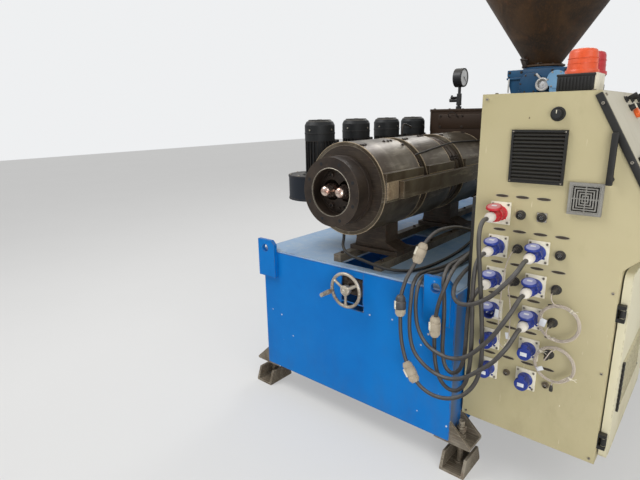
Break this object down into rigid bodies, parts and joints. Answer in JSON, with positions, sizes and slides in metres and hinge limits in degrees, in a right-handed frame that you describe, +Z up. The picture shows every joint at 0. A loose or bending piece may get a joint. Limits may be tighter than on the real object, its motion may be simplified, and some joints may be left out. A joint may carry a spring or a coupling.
{
  "type": "twin-screw plastic extruder",
  "caption": "Twin-screw plastic extruder: heated barrel with cooling blowers and feed hopper on a welded box base, with a hung control console and power sockets.",
  "frame": {"origin": "floor level, under the middle of the machine's box", "axes": "+X to the console side, +Y from the screw tips to the drive, +Z up"},
  "size_m": [1.832, 4.0596, 2.745],
  "materials": {
    "base_paint": "semi-gloss enamel with chips and dirt",
    "top_paint": "worn enamel with dust",
    "worn_steel": "grimy mill steel",
    "dark_steel": "dark oily steel",
    "wheel_steel": "worn grey with rust",
    "barrel_steel": "heat-stained steel",
    "disc_steel": "burnt brown steel",
    "shroud_steel": "heat-tinted sheet steel",
    "screw_steel": "polished by the melt",
    "motor_black": "satin black paint, dusty",
    "casing_navy": "dark blue-black paint",
    "vent_brown": "brown paint",
    "gauge_black": "black case, pale dial",
    "feeder_blue": "dark teal enamel",
    "hopper_brown": "brown stained sheet",
    "drive_grey": "grey motor paint",
    "console_paint": "olive beige textured enamel",
    "panel_grey": "light operator panel",
    "door_paint": "cream enamel, scuffed",
    "trim_black": "black plastic",
    "filter_grey": "dusty grey plastic",
    "beacon_orange": "translucent orange dome on a black box",
    "socket_blue": "blue plastic, white flange",
    "connector_metal": "dark connector shells",
    "cable_rubber": "grey rubber sheath, dusty",
    "connector_beige": "beige connector shells",
    "lead_white": "pale braided sheath",
    "plug_white": "white plastic"
  },
  "bodies": {
    "machine": {"base_front_plate": "base_paint", "base_side_plates": "base_paint", "base_top_plate": "top_paint", "lifting_lugs": "base_paint", "leg_brackets": "worn_steel", "levelling_screws": "worn_steel", "floor_shoes": "worn_steel", "slide_rails": "worn_steel", "barrel_pedestals": "dark_steel", "handwheel_bearing": "dark_steel", "barrel": "barrel_steel", "front_disc": "disc_steel", "barrel_heaters": "dark_steel", "shroud_uppers": "shroud_steel", "shroud_lowers": "shroud_steel", "side_bar": "shroud_steel", "blower_motors": "motor_black", "blower_casings": "casing_navy", "vent_box": "vent_brown", "pressure_gauge": "gauge_black", "feed_block": "dark_steel", "feeder": "feeder_blue", "hopper_cone": "hopper_brown", "hopper_drum": "hopper_brown", "gearbox": "base_paint", "drive_motor": "drive_grey", "drive_stand": "base_paint", "console_front_panel": "console_paint", "console_walls": "console_paint", "operator_panel": "panel_grey", "console_nose": "console_paint", "console_side_wall": "console_paint", "door_hinges": "trim_black", "console_arms": "worn_steel", "louvre_grille": "trim_black", "fan_filter": "filter_grey", "console_trims": "trim_black", "beacons": "beacon_orange", "power_sockets": "socket_blue", "signal_connectors": "connector_metal", "power_plugs": "plug_white", "junction_box": "filter_grey", "cable_couplings": "connector_beige", "lead_plugs": "connector_metal", "cable_1": "cable_rubber", "cable_2": "cable_rubber", "cable_3": "cable_rubber", "cable_4": "cable_rubber", "cable_5": "cable_rubber", "cable_6": "cable_rubber", "barrel_cables": "cable_rubber", "lead_1": "lead_white", "lead_2": "lead_white", "lead_3": "lead_white", "coil_1": "lead_white", "coil_2": "lead_white"},
    "door": {"console_door": "door_paint"},
    "wheel": {"handwheel": "wheel_steel"},
    "left_screw": {"screw_left": "screw_steel"},
    "right_screw": {"screw_right": "screw_steel"}
  },
  "joints": [
    {"name": "door_hinge", "type": "hinge", "parent": "machine", "child": "door", "pos_m": [0.8195, -1.782, 0.608], "axis": [0, 0, -1], "range_deg": [0, 110]},
    {"name": "wheel_turn", "type": "hinge", "parent": "machine", "child": "wheel", "pos_m": [-0.231, -1.944, 0.72], "axis": [0, 1, 0], "continuous": true},
    {"name": "left_screw_turn", "type": "hinge", "parent": "machine", "child": "left_screw", "pos_m": [-0.304, -1.894, 1.175], "axis": [0, 1, 0], "continuous": true},
    {"name": "right_screw_turn", "type": "hinge", "parent": "machine", "child": "right_screw", "pos_m": [-0.224, -1.894, 1.175], "axis": [0, 1, 0], "continuous": true}
  ],
  "couplings": [
    {"joint": "right_screw_turn", "follows": "left_screw_turn", "ratio": 1}
  ]
}
